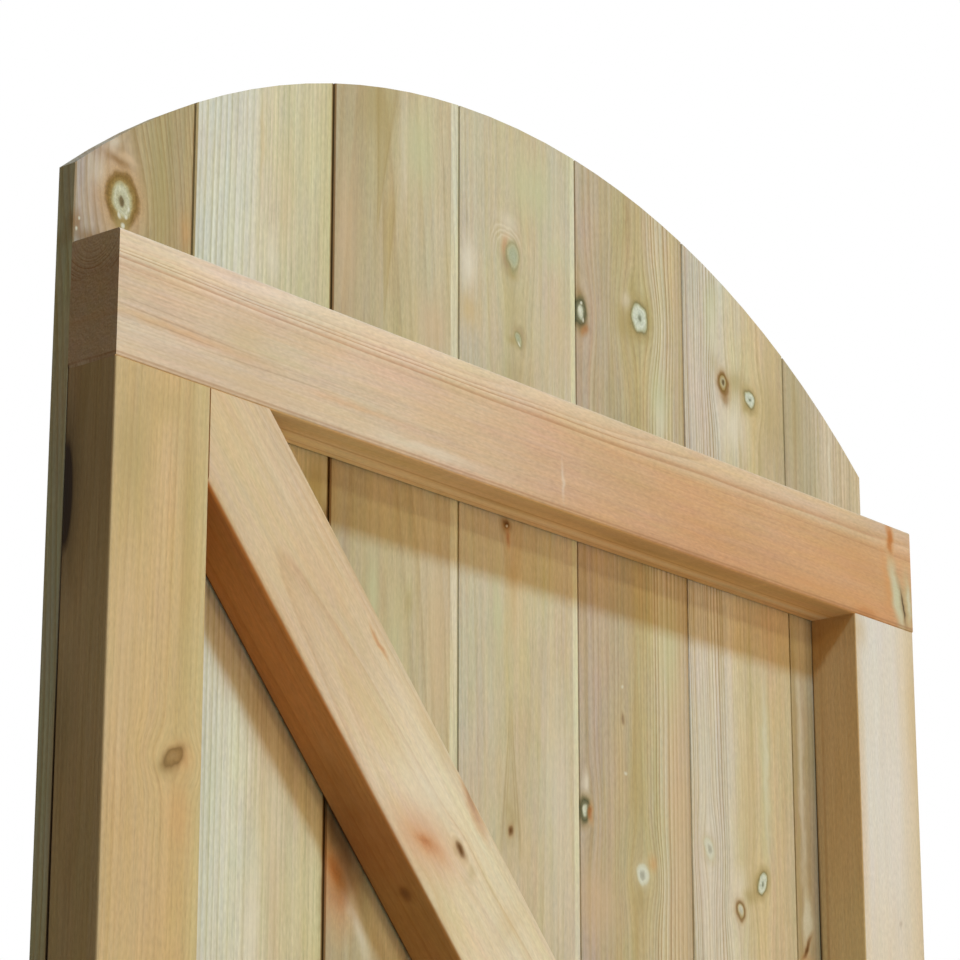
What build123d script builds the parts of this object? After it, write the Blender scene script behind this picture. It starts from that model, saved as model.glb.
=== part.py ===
"""Arch top garden gate leaf: a jointed timber frame with braces, boarded on one side.

Millimetres. +Z is up, -Y looks at the framed side and +Y at the boarded side.
The origin is on the outer edge of the hanging stile, at half the frame's height and depth,
and the leaf reaches from there towards -X.
"""

import math
import os

from build123d import *

# Driving dimensions of the frame
leaf_width = 762.0
frame_height = 1564.0
timber_width = 71.0
timber_depth = 36.0
arris_radius = 1.5
brace_arris_radius = 3.0

# Tenons, a third of the timber's depth, and the mortises that they seat in
tenon_thickness = 12.0
tenon_length = 30.0
tenon_shoulder = 16.0
mortise_depth = 32.0

# Tongue and groove boards
board_cover = 115.0
board_thickness = 12.0
whole_boards = 5
hanging_margin = 5.0
tongue_length = 6.0
tongue_thickness = 3.6
groove_depth = 6.6
groove_width = 4.0
face_chamfer = 2.5
back_gap = 1.5

# Arched head of the boarding, measured up from the top of the top rail
arch_end_rise = 45.5
arch_peak_rise = 186.0

# Places worked out from the driving dimensions
frame_top = frame_height / 2
frame_foot = -frame_height / 2
latch_edge_x = -leaf_width
clear_width = leaf_width - 2 * timber_width
panel_height = (frame_height - 3 * timber_width) / 2
leaf_centre_x = -leaf_width / 2
latch_stile_x = latch_edge_x + timber_width / 2
hanging_stile_x = -timber_width / 2
top_rail_z = frame_top - timber_width / 2
bottom_rail_z = frame_foot + timber_width / 2
frame_back_y = timber_depth / 2
board_face_y = frame_back_y + board_thickness

os.makedirs("parts", exist_ok=True)


def ease_arrises(part, direction):
    """Round the long edges of a timber that runs along the given direction."""
    longest = part.edges().filter_by(direction).group_by(SortBy.LENGTH)
    corners = longest[-1] + (longest[-2] if len(longest[-1]) < 4 else ShapeList())
    fillet(corners, arris_radius)


# Top and bottom rails run the full width, over and under the ends of both stiles
for name, rail_z, stile_side in (("top_rail", top_rail_z, -1), ("bottom_rail", bottom_rail_z, 1)):
    with BuildPart() as rail:
        with BuildSketch(Plane.YZ.offset(latch_edge_x)):
            with Locations((0, rail_z)):
                Rectangle(timber_depth, timber_width)
        extrude(amount=leaf_width)
        ease_arrises(rail, Axis.X)
        mortised_face_z = rail_z + stile_side * timber_width / 2
        with BuildSketch(Plane.XY.offset(mortised_face_z)):
            with Locations((latch_stile_x, 0), (hanging_stile_x, 0)):
                Rectangle(timber_width - 2 * tenon_shoulder, tenon_thickness)
        extrude(amount=-stile_side * mortise_depth, mode=Mode.SUBTRACT)
    rail.part.label = name
    export_step(rail.part, f"parts/{name}.step")

# Stiles stand between the rails, with a stub tenon at each end and a mortise for the middle rail
stile_length = frame_height - 2 * timber_width
for name, stile_x, opening_side in (
    ("latch_stile", latch_stile_x, 1),
    ("hanging_stile", hanging_stile_x, -1),
):
    with BuildPart() as stile:
        with BuildSketch(Plane.XY.offset(-stile_length / 2)):
            with Locations((stile_x, 0)):
                Rectangle(timber_width, timber_depth)
        extrude(amount=stile_length)
        ease_arrises(stile, Axis.Z)
        with BuildSketch(Plane.XY.offset(-stile_length / 2 - tenon_length)):
            with Locations((stile_x, 0)):
                Rectangle(timber_width - 2 * tenon_shoulder, tenon_thickness)
        extrude(amount=stile_length + 2 * tenon_length)
        with BuildSketch(Plane.YZ.offset(stile_x + opening_side * timber_width / 2)):
            Rectangle(tenon_thickness, timber_width - 2 * tenon_shoulder)
        extrude(amount=-opening_side * mortise_depth, mode=Mode.SUBTRACT)
    stile.part.label = name
    export_step(stile.part, f"parts/{name}.step")

# Middle rail between the stiles, tenoned into both
with BuildPart() as middle_rail:
    with BuildSketch(Plane.YZ.offset(leaf_centre_x - clear_width / 2)):
        Rectangle(timber_depth, timber_width)
    extrude(amount=clear_width)
    ease_arrises(middle_rail, Axis.X)
    with BuildSketch(Plane.YZ.offset(leaf_centre_x - clear_width / 2 - tenon_length)):
        Rectangle(tenon_thickness, timber_width - 2 * tenon_shoulder)
    extrude(amount=clear_width + 2 * tenon_length)
middle_rail.part.label = "middle_rail"
export_step(middle_rail.part, "parts/middle_rail.step")

# Braces rise from the hanging side to the latch side, each cut to sit tight in two corners
brace_angle = math.degrees(math.atan2(panel_height, clear_width))
brace_direction = Axis((0, 0, 0), (-clear_width, 0, panel_height))
panel_centre_z = (timber_width + panel_height) / 2
for name, centre_z in (("upper_brace", panel_centre_z), ("lower_brace", -panel_centre_z)):
    with BuildPart() as brace:
        with BuildSketch(Plane.XZ.offset(-timber_depth / 2)):
            with Locations((leaf_centre_x, centre_z)):
                Rectangle(clear_width, panel_height)
                Rectangle(2 * panel_height, timber_width, rotation=-brace_angle, mode=Mode.INTERSECT)
        extrude(amount=timber_depth)
        fillet(brace.edges().filter_by(brace_direction), brace_arris_radius)
    brace.part.label = name
    export_step(brace.part, f"parts/{name}.step")

# Boarding: whole boards in the middle, and an outer board ripped down at each side
boarding_width = leaf_width - hanging_margin
ripped_width = (boarding_width - whole_boards * board_cover) / 2
board_widths = [ripped_width] + [board_cover] * whole_boards + [ripped_width]
boarding_right_x = latch_edge_x + boarding_width
boarding_centre_x = (latch_edge_x + boarding_right_x) / 2
arch_end_z = frame_top + arch_end_rise
arch_peak_z = frame_top + arch_peak_rise

board_left_x = latch_edge_x
for number, board_width in enumerate(board_widths, start=1):
    has_groove = number > 1
    has_tongue = number < len(board_widths)
    board_right_x = board_left_x + board_width
    board_mid_y = frame_back_y + board_thickness / 2
    with BuildPart() as board:
        # Section of the board, with its chamfered face outwards
        with BuildSketch(Plane.XY.offset(frame_foot)):
            with Locations(((board_left_x + board_right_x) / 2, board_mid_y)):
                Rectangle(board_width, board_thickness)
            if has_tongue:
                face_corner = vertices().filter_by_position(
                    Axis.X, board_right_x - 0.1, board_right_x + 0.1
                ).sort_by(Axis.Y)[-1]
                chamfer(face_corner, face_chamfer)
                with Locations((board_right_x - back_gap, frame_back_y)):
                    Rectangle(
                        2 * back_gap,
                        (board_thickness - tongue_thickness) / 2,
                        align=(Align.MIN, Align.MIN),
                        mode=Mode.SUBTRACT,
                    )
                with Locations((board_right_x, board_mid_y)):
                    Rectangle(2 * tongue_length, tongue_thickness)
            if has_groove:
                face_corner = vertices().filter_by_position(
                    Axis.X, board_left_x - 0.1, board_left_x + 0.1
                ).sort_by(Axis.Y)[-1]
                chamfer(face_corner, face_chamfer)
                with Locations((board_left_x, board_mid_y)):
                    Rectangle(2 * groove_depth, groove_width, mode=Mode.SUBTRACT)
        extrude(amount=arch_peak_z - frame_foot)
        # Every board's head follows one arc across the whole boarding
        with BuildSketch(Plane.XZ.offset(-board_face_y - 1)):
            with BuildLine():
                head = ThreePointArc(
                    (latch_edge_x, arch_end_z),
                    (boarding_centre_x, arch_peak_z),
                    (boarding_right_x, arch_end_z),
                )
                Polyline(
                    head @ 0,
                    (latch_edge_x, frame_foot),
                    (boarding_right_x, frame_foot),
                    head @ 1,
                )
            make_face()
        extrude(amount=board_thickness + 2, mode=Mode.INTERSECT)
    board.part.label = f"board_{number}"
    export_step(board.part, f"parts/board_{number}.step")
    board_left_x = board_right_x
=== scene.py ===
"""Looks of an arch top garden gate leaf in pressure treated softwood.

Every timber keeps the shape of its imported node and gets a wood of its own. A wood is a solid
pattern in the timber's own millimetres: across its width, through its depth and along its grain.
Growth rings are cylinders round a pith line, bent aside by knots, so faces, edges and end grain
all cut the same rings. Nail heads are added on the boarded side.
"""

import math
import random

import bmesh
import bpy
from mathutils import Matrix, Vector


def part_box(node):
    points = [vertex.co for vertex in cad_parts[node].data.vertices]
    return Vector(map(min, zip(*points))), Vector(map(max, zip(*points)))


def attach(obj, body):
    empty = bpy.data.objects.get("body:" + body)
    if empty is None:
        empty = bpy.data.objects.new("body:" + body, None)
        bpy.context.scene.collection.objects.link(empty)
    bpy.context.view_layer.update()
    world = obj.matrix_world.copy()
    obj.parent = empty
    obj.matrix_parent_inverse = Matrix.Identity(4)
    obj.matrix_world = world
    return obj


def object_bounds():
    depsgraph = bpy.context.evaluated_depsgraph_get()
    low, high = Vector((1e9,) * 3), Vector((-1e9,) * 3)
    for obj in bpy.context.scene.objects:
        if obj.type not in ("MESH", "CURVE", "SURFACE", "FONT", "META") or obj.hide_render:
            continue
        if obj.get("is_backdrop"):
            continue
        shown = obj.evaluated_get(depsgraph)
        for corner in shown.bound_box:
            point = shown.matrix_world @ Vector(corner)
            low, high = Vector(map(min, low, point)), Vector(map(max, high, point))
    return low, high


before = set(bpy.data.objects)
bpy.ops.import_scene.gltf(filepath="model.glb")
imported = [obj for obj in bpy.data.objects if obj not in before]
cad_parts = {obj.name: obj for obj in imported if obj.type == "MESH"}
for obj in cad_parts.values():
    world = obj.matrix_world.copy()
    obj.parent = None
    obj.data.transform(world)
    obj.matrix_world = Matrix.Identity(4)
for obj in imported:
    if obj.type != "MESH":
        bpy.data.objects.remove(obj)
cad_low, cad_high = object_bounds()

MM = 0.001
WHITE = (1.0, 1.0, 1.0, 1.0)


def colour(red, green, blue):
    """Linear colour with alpha, from screen values of 0 to 255."""

    def linear(step):
        value = step / 255
        return value / 12.92 if value <= 0.04045 else ((value + 0.055) / 1.055) ** 2.4

    return (linear(red), linear(green), linear(blue), 1.0)


class Nodes:
    """One short call for each node of a tree."""

    def __init__(self, tree):
        self.tree = tree

    def add(self, kind, inputs=(), **settings):
        """A node with these settings; inputs are values or sockets, by place or by name."""
        node = self.tree.nodes.new(kind)
        for name, value in settings.items():
            setattr(node, name, value)
        for key, value in inputs.items() if isinstance(inputs, dict) else enumerate(inputs):
            if isinstance(value, bpy.types.NodeSocket):
                self.tree.links.new(value, node.inputs[key])
            else:
                node.inputs[key].default_value = value
        return node

    def math(self, operation, *values):
        return self.add("ShaderNodeMath", values, operation=operation).outputs[0]

    def vector(self, operation, *values):
        node = self.add("ShaderNodeVectorMath", values, operation=operation)
        return node.outputs["Value" if operation in ("LENGTH", "DOT_PRODUCT") else "Vector"]

    def scaled(self, vector, factors):
        return self.vector("MULTIPLY", vector, factors)

    def split(self, vector):
        return self.add("ShaderNodeSeparateXYZ", [vector]).outputs

    def join(self, x, y, z):
        return self.add("ShaderNodeCombineXYZ", [x, y, z]).outputs[0]

    def grey(self, value):
        """Vector with the same value in all three places."""
        return self.join(value, value, value)

    def mix(self, factor, first, second, blend="MIX"):
        inputs = {0: factor, 6: first, 7: second}
        return self.add("ShaderNodeMix", inputs, data_type="RGBA", blend_type=blend).outputs[2]

    def tinted(self, share, tone, tint):
        """A tone multiplied by a tint, in the given share."""
        return self.mix(share, tone, self.mix(1.0, tone, tint, "MULTIPLY"))

    def noise(self, vector, detail=2.0, roughness=0.5):
        """Value about 0.5 and vector of a noise with features about one unit across."""
        inputs = {"Vector": vector, "Scale": 1.0, "Detail": detail, "Roughness": roughness}
        return self.add("ShaderNodeTexNoise", inputs).outputs

    def step(self, value, low, high, out_low=0.0, out_high=1.0):
        """Smooth step of a value between low and high."""
        inputs = [value, low, high, out_low, out_high]
        return self.add("ShaderNodeMapRange", inputs, interpolation_type="SMOOTHSTEP").outputs[0]

    def ramp(self, value, stops):
        """Colour and alpha along a row of (place, colour) stops."""
        node = self.add("ShaderNodeValToRGB", [value])
        elements = node.color_ramp.elements
        while len(elements) < len(stops):
            elements.new(1.0)
        for element, (place, tone) in zip(elements, stops):
            element.position = place
            element.color = tone
        return node.outputs

    def surface(self, inputs):
        """Surface shader with these inputs, as the material's output."""
        shader = self.add("ShaderNodeBsdfPrincipled", inputs)
        self.add("ShaderNodeOutputMaterial", {"Surface": shader.outputs[0]})


def new_material(name):
    """Empty material, and the nodes to fill it with."""
    material = bpy.data.materials.new(name)
    material.use_nodes = True
    material.node_tree.nodes.clear()
    return material, Nodes(material.node_tree)


def shader_group(name, inputs, outputs, build):
    """Node group whose inside is made by build(nodes, given), which returns its outputs."""
    tree = bpy.data.node_groups.new(name, "ShaderNodeTree")
    for socket, kind in inputs.items():
        tree.interface.new_socket(socket, in_out="INPUT", socket_type="NodeSocket" + kind)
    for socket, kind in outputs.items():
        tree.interface.new_socket(socket, in_out="OUTPUT", socket_type="NodeSocket" + kind)
    given = tree.nodes.new("NodeGroupInput").outputs
    result = tree.nodes.new("NodeGroupOutput")
    for socket, value in build(Nodes(tree), given).items():
        tree.links.new(value, result.inputs[socket])
    return tree


# Growth rings, fibres and end grain, shared by every timber. The scale of a noise is in features
# per millimetre across the width, through the depth and along the grain.
NOISE_MIDDLE = (0.5, 0.5, 0.5)
WANDER_SCALE = (0.012, 0.012, 0.0028)
WANDER_REACH = (7.0, 7.0, 0.0)
YEAR_SCALE = 0.35
YEAR_UNEVENNESS = 2.6
LATE_WOOD_POWER = 2.2
LATE_WOOD_END = (1.0, 0.84)
YEAR_STRENGTH = (0.25, 0.70, 0.30, 1.15)
FIBRE_SCALE = (0.40, 0.40, 0.007)
SPECK_SCALE = (0.75, 0.75, 0.24)
SPECK_STRENGTH = 0.30
DASH_SCALE = (0.9, 0.9, 0.035)
DASH_START = (0.60, 0.76)
END_GRAIN_TONE = (0.80, 0.72, 0.62, 1.0)

# Clouds and then bands of hue: scale, detail, and strength of the change in shade, pink and yellow
HUE_CHANGES = (
    ((0.032, 0.032, 0.013), 3.0, 0.22, 0.16, 0.40),
    ((0.17, 0.17, 0.007), 2.0, 0.22, 0.10, 0.34),
)


def build_wood(n, given):
    """Rings round the pith line, then fibres, changes of hue and dark dashes along the grain."""
    at = n.vector("ADD", given["Place"], given["Seed"])
    wander = n.vector("SUBTRACT", n.noise(n.scaled(at, WANDER_SCALE))[1], NOISE_MIDDLE)
    along = n.split(given["Place"])[2]
    pith = n.vector("ADD", given["Pith"], n.scaled(given["Lean"], n.join(along, along, 0.0)))
    spread = n.vector("SUBTRACT", given["Place"], pith)
    spread = n.vector("MULTIPLY_ADD", wander, WANDER_REACH, spread)
    radius = n.vector("LENGTH", n.scaled(spread, (1.0, 1.0, 0.0)))
    years = n.math("DIVIDE", radius, given["Ring width"])
    years_place = n.join(n.math("MULTIPLY", years, YEAR_SCALE), 0.0, 0.0)
    uneven = n.noise(n.vector("ADD", years_place, given["Seed"]))[0]
    phase = n.math("MULTIPLY_ADD", uneven, YEAR_UNEVENNESS, years)
    in_ring = n.math("FRACT", phase)
    late = n.math("POWER", in_ring, LATE_WOOD_POWER)
    late = n.math("MULTIPLY", late, n.step(in_ring, *LATE_WOOD_END))
    year_seed = n.join(n.math("FLOOR", phase), n.split(given["Seed"])[0], 0.0)
    late = n.math("MULTIPLY", late, n.step(n.noise(year_seed, 0.0)[0], *YEAR_STRENGTH))
    tone = n.mix(n.math("MULTIPLY", late, given["Lines"]), given["Base"], given["Late"])

    fibre = n.noise(n.scaled(at, FIBRE_SCALE), 4.0, 0.66)[0]
    change = n.scaled(n.vector("SUBTRACT", n.grey(fibre), NOISE_MIDDLE), given["Fibre"])
    speck = n.math("SUBTRACT", n.noise(n.scaled(at, SPECK_SCALE), 1.0)[0], 0.5)
    change = n.vector("ADD", change, n.grey(n.math("MULTIPLY", speck, SPECK_STRENGTH)))
    for scale, detail, shade, pink, yellow in HUE_CHANGES:
        cloud = n.vector("SUBTRACT", n.noise(n.scaled(at, scale), detail, 0.6)[1], NOISE_MIDDLE)
        cloud = n.split(n.scaled(cloud, n.grey(given["Hue"])))
        for channel, strength in (
            (cloud[0], (shade, shade, shade)),
            (cloud[1], (pink, -0.6 * pink, -0.5 * pink)),
            (cloud[2], (0.05 * yellow, 0.0, -yellow)),
        ):
            change = n.vector("MULTIPLY_ADD", n.grey(channel), strength, change)
    dashes = n.step(n.noise(n.scaled(at, DASH_SCALE), 1.0)[0], *DASH_START)
    dashes = n.math("MULTIPLY_ADD", dashes, n.math("MULTIPLY", given["Dashes"], -1.0), 1.0)
    change = n.vector("ADD", change, n.grey(dashes))
    tone = n.tinted(given["End"], n.vector("MULTIPLY", tone, change), END_GRAIN_TONE)
    return {"Colour": tone, "Fibre": fibre}


WOOD = shader_group(
    "softwood",
    {
        "Place": "Vector", "Seed": "Vector", "Pith": "Vector", "Lean": "Vector",
        "Ring width": "Float", "Lines": "Float", "Fibre": "Vector", "Dashes": "Float", "Hue": "Float",
        "Base": "Color", "Late": "Color", "End": "Float",
    },
    {"Colour": "Color", "Fibre": "Float"},
    build_wood,
)

# How far a knot bends the grain, in its own half sizes, and how strongly
BEND_REACH = (2.3, 1.0, 3.2)
BEND_STRENGTH = 0.85


def build_knot_bend(n, given):
    """The grain pushed aside round a knot."""
    offset = n.vector("SUBTRACT", given["Place"], given["Centre"])
    near = n.vector("DIVIDE", offset, n.scaled(given["Half"], BEND_REACH))
    pull = n.math("EXPONENT", n.math("MULTIPLY", n.vector("DOT_PRODUCT", near, near), -1.0))
    push = n.math("MULTIPLY", n.split(offset)[0], n.math("MULTIPLY", pull, BEND_STRENGTH))
    return {"Place": n.vector("SUBTRACT", given["Place"], n.join(push, 0.0, 0.0))}


KNOT_BEND = shader_group(
    "knot_bend",
    {"Place": "Vector", "Centre": "Vector", "Half": "Vector"},
    {"Place": "Vector"},
    build_knot_bend,
)

# Marks in the wood by kind, and the dark of shadowed gaps as painted shade: how strongly the mark
# is mottled, then its red, green, blue and cover at each distance from its middle, where 1 is the
# mark's own half size
MARK_REACH = 2.0
MARK_KINDS = {
    "ringed": (1.1, [
        (0.0, 104, 90, 62, 1), (0.12, 112, 98, 68, 1), (0.22, 176, 172, 142, 1),
        (0.42, 190, 188, 162, 1), (0.56, 174, 166, 128, 1), (0.68, 146, 122, 72, 1),
        (0.84, 124, 96, 50, 1), (0.98, 136, 106, 62, 0.9), (1.12, 182, 150, 110, 0.5),
        (1.7, 192, 162, 126, 0),
    ]),
    "pale": (0.9, [
        (0.0, 118, 124, 104, 1), (0.12, 134, 138, 118, 1), (0.28, 186, 192, 174, 1),
        (0.62, 202, 206, 190, 1), (0.80, 178, 180, 150, 1), (0.94, 124, 114, 74, 0.85),
        (1.2, 156, 136, 86, 0.5), (1.9, 172, 150, 100, 0),
    ]),
    "disc": (0.3, [
        (0.0, 160, 160, 146, 1), (0.3, 172, 172, 156, 1), (0.55, 204, 206, 190, 1),
        (0.85, 200, 200, 178, 0.9), (1.15, 190, 182, 148, 0.3), (1.6, 190, 176, 140, 0),
    ]),
    "eye": (0.5, [
        (0.0, 98, 84, 56, 1), (0.16, 110, 94, 64, 1), (0.32, 176, 166, 132, 1), (0.52, 164, 144, 98, 1),
        (0.72, 122, 92, 46, 1), (0.95, 134, 100, 52, 0.85), (1.2, 164, 132, 84, 0.4),
        (1.7, 176, 146, 100, 0),
    ]),
    "edge": (0.9, [
        (0.0, 198, 200, 182, 1), (0.28, 186, 190, 168, 1), (0.50, 116, 114, 88, 1),
        (0.75, 88, 86, 60, 1), (0.96, 112, 104, 68, 0.8), (1.25, 156, 136, 92, 0.35),
        (1.7, 168, 148, 104, 0),
    ]),
    "dark": (0.5, [
        (0.0, 92, 60, 28, 1), (0.4, 106, 72, 36, 0.95), (0.8, 126, 90, 50, 0.75),
        (1.15, 152, 116, 70, 0.35), (1.8, 170, 136, 88, 0),
    ]),
    "green": (0.7, [
        (0.0, 168, 172, 148, 0.95), (0.4, 160, 166, 138, 0.9), (0.7, 172, 172, 140, 0.8),
        (0.95, 140, 138, 96, 0.65), (1.4, 172, 162, 120, 0),
    ]),
    "smear": (0.4, [
        (0.0, 208, 206, 186, 0.85), (0.6, 206, 203, 182, 0.7), (1.0, 202, 196, 170, 0.3),
        (1.5, 200, 190, 160, 0),
    ]),
    "red": (0.7, [
        (0.0, 160, 92, 40, 0.92), (0.5, 176, 110, 58, 0.75), (1.0, 194, 140, 90, 0.38),
        (1.6, 204, 158, 112, 0),
    ]),
    "oval": (0.5, [
        (0.0, 152, 124, 82, 0.9), (0.5, 142, 112, 68, 0.9), (0.85, 112, 84, 46, 0.85),
        (1.15, 146, 116, 74, 0.45), (1.6, 174, 146, 100, 0),
    ]),
    "line": (0.2, [
        (0.0, 112, 76, 42, 0.85), (0.6, 124, 86, 50, 0.6), (1.2, 150, 112, 74, 0),
    ]),
    "arcs": (0.1, [
        (0.0, 218, 204, 178, 0), (0.80, 218, 204, 178, 0), (0.88, 218, 206, 180, 0.55),
        (0.96, 168, 142, 100, 0.25), (1.06, 218, 206, 180, 0.5), (1.14, 168, 142, 100, 0.3),
        (1.26, 218, 206, 180, 0.45), (1.36, 172, 146, 104, 0.2), (1.55, 216, 204, 178, 0),
    ]),
    "flame": (0.3, [
        (0.0, 170, 150, 98, 0.50), (0.6, 164, 143, 90, 0.55), (0.88, 154, 132, 78, 0.6),
        (1.2, 172, 150, 100, 0.16), (1.7, 178, 158, 112, 0),
    ]),
    "vein": (0.1, [
        (0.0, 170, 150, 98, 0.14), (0.65, 164, 142, 90, 0.16), (0.9, 152, 128, 76, 0.5),
        (1.2, 178, 158, 112, 0.08), (1.6, 178, 158, 112, 0),
    ]),
    "arris": (0.1, [
        (0.0, 150, 104, 66, 0.85), (0.6, 160, 114, 76, 0.6), (1.2, 190, 150, 110, 0),
    ]),
    "resin": (0.5, [
        (0.0, 176, 108, 50, 0.95), (0.5, 186, 120, 62, 0.85), (1.0, 200, 146, 92, 0.4),
        (1.5, 206, 160, 110, 0),
    ]),
    "speck": (0.3, [
        (0.0, 214, 214, 200, 0.95), (0.7, 206, 204, 184, 0.7), (1.3, 190, 180, 150, 0),
    ]),
    # Painted shade: the dark of the shadowed gap where a timber meets the boards or the frame
    "gap_shade": (0.0, [
        (0.0, 40, 27, 8, 1), (0.75, 52, 36, 14, 1), (1.0, 90, 66, 36, 0),
    ]),
    "crack": (0.2, [
        (0.0, 52, 44, 30, 1), (0.5, 66, 56, 38, 0.9), (1.1, 110, 96, 66, 0),
    ]),
}

# Soft washes of one tone, whose cover is given at each distance in the same way. The shade wash is
# painted shade; umber also serves as painted shade, and whitish as painted sheen and bounce light,
# where the looks below say so
WASHES = {
    "pinkish": (200, 172, 140),
    "greenish": (186, 188, 150),
    "whitish_and_lit": (220, 212, 194),
    "buff": (196, 170, 122),
    "khaki": (164, 147, 98),
    "umber_and_shade": (132, 98, 56),
    "amber": (204, 150, 96),
    "salmon": (200, 146, 110),
    # Painted shade: a dark wash that stands in for cast shadows and the shade in gaps
    "shade": (52, 38, 24),
}
WASH_MOTTLING = 0.15
WASH_COVER = ((0.0, 0.75), (0.45, 0.62), (0.9, 0.34), (1.4, 0.1), (1.9, 0))
for wash, tone in WASHES.items():
    MARK_KINDS[wash] = (WASH_MOTTLING, [(at, *tone, cover) for at, cover in WASH_COVER])

# Kinds that bend the grain, kinds that narrow to a point, and kinds with straight edges
KNOTS = ("ringed", "pale", "disc", "eye", "edge", "dark", "green", "oval")
FLAMES = ("flame", "vein")
STRAIGHT = ("gap_shade", "arris", "line", *FLAMES)

# Stretches along a mark, in its half sizes, over which a flame opens from its point, fades in
# and fades out, and over which the arcs over a knot start
FLAME_OPENING = (-1.1, 1.1, 0.05, 1.0)
FLAME_POINT = (-1.1, -0.7)
FLAME_END = (1.0, 0.3)
ARCS_START = (-0.2, 0.9)


def mark_group(kind):
    """Group that paints one kind of mark over a colour."""
    mottling, rows = MARK_KINDS[kind]
    stops = [
        (at / MARK_REACH, (*colour(red, green, blue)[:3], cover)) for at, red, green, blue, cover in rows
    ]

    def build(n, given):
        offset = n.vector("SUBTRACT", given["Place"], given["Centre"])
        turn = {"Vector": offset, "Angle": given["Tilt"]}
        offset = n.add("ShaderNodeVectorRotate", turn, rotation_type="Y_AXIS").outputs[0]
        offset = n.vector("DIVIDE", offset, given["Half"])
        distance = n.vector("LENGTH", offset)
        across, _, along = n.split(offset)
        if kind in FLAMES:
            opening = n.step(along, *FLAME_OPENING)
            distance = n.math("DIVIDE", n.math("ABSOLUTE", across), opening)
        tone, cover = n.ramp(n.math("DIVIDE", distance, MARK_REACH), stops)
        if kind in FLAMES:
            ends = n.math("MULTIPLY", n.step(along, *FLAME_POINT), n.step(along, *FLAME_END))
            cover = n.math("MULTIPLY", cover, ends)
        if kind == "arcs":
            cover = n.math("MULTIPLY", cover, n.step(along, *ARCS_START))
        shade = n.math("MULTIPLY_ADD", given["Mottle"], mottling, 1.0 - 0.5 * mottling)
        tone = n.vector("MULTIPLY", tone, n.grey(shade))
        cover = n.math("MULTIPLY", cover, given["Strength"])
        return {"Colour": n.mix(cover, given["Colour"], tone)}

    inputs = {
        "Colour": "Color", "Place": "Vector", "Centre": "Vector", "Half": "Vector",
        "Tilt": "Float", "Mottle": "Float", "Strength": "Float",
    }
    return shader_group("mark_" + kind, inputs, {"Colour": "Color"}, build)


MARK_GROUPS = {kind: mark_group(kind) for kind in MARK_KINDS}

# Half size of a mark that goes right through a timber
DEEP = 1.0e5

# What a mark has where its row ends early: tilt, strength, depth and half depth
PLAIN_MARK = (0.0, 1.0, 0.0, DEEP)

# Ragged outline of the marks, in features per millimetre and millimetres, and their mottling
RAGGED_SCALE = (0.07, 0.01, 0.05)
RAGGED_REACH = (8.0, 0.0, 9.0)
MOTTLE_SCALE = (0.6, 0.08, 0.5)


def bend_grain(n, place, marks):
    """Coordinates with the grain bent round each knot."""
    for kind, across, along, half_across, half_along, *_ in marks:
        if kind in KNOTS:
            inputs = {
                "Place": place,
                "Centre": (across, 0.0, along),
                "Half": (half_across, DEEP, half_along),
            }
            place = n.add("ShaderNodeGroup", inputs, node_tree=KNOT_BEND).outputs[0]
    return place


def draw_marks(n, tone, place, marks):
    """Each mark over the wood. Its row has its kind, its place across and along, its half size
    across and along, and if need be its tilt in degrees, strength, depth and half depth."""
    ragged = n.noise(n.scaled(place, RAGGED_SCALE), 2.0, 0.6)[1]
    ragged = n.scaled(n.vector("SUBTRACT", ragged, NOISE_MIDDLE), RAGGED_REACH)
    wavy = n.vector("ADD", place, ragged)
    mottle = n.noise(n.scaled(wavy, MOTTLE_SCALE), 2.0, 0.7)[0]
    for kind, across, along, half_across, half_along, *rest in marks:
        tilt, strength, depth, half_depth = (*rest, *PLAIN_MARK[len(rest):])
        inputs = {
            "Colour": tone,
            "Place": place if kind in STRAIGHT else wavy,
            "Centre": (across, depth, along),
            "Half": (half_across, half_depth, half_along),
            "Tilt": math.radians(tilt),
            "Mottle": mottle,
            "Strength": strength,
        }
        tone = n.add("ShaderNodeGroup", inputs, node_tree=MARK_GROUPS[kind]).outputs[0]
    return tone


# How a seed shifts the noises, and how a fibre changes red, green and blue
SEED_SHIFT = (37.0, 11.0, 53.0)
FIBRE_TONE = (0.95, 1.0, 1.1)

# Unevenness of the tones, and the soft edges of strips, joints and turned faces
WARP_SCALE = (0.02, 0.02, 0.0035)
WARP_REACH = 0.07
STRIP_BLUR = 0.5
JOINT_BLUR = 0.6
FACE_TURN = (0.5, 0.9)
END_GRAIN_TURN = (0.55, 0.8)

# Relief of the surface and its roughness
RELIEF_SCALE = (0.45, 0.45, 0.012)
RELIEF_STRENGTH = 0.35
RELIEF_DEPTH = 0.0006
FIBRE_ROUGHNESS = (0.3, 0.7, 0.64, 0.76)
END_GRAIN_ROUGHNESS = 0.2


def share_across(n, bent, width):
    """Place across the timber, from 0 at its left to 1 at its right."""
    return n.math("DIVIDE", n.split(bent)[0], width)


def base_tone(n, look, place, bent, width):
    """Tone of the plain wood across the timber, which may change further along it."""
    warp = n.vector("ADD", n.scaled(bent, WARP_SCALE), (look["seed"], 0.0, 0.0))
    warp = n.step(n.noise(warp, 2.0)[0], 0.0, 1.0, -WARP_REACH, WARP_REACH)
    zone = n.math("ADD", share_across(n, bent, width), warp)
    tone = n.ramp(zone, look["tones"])[0]
    across, _, along = n.split(place)
    if "far_tones" in look:
        far_share = n.step(along, *look["far_span"])
        tone = n.mix(far_share, tone, n.ramp(zone, look["far_tones"])[0])
    if "strip" in look:
        strip_start, strip_tone = look["strip"]
        inside = n.step(across, strip_start - STRIP_BLUR, strip_start + STRIP_BLUR)
        tone = n.mix(inside, tone, strip_tone)
    return tone


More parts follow.
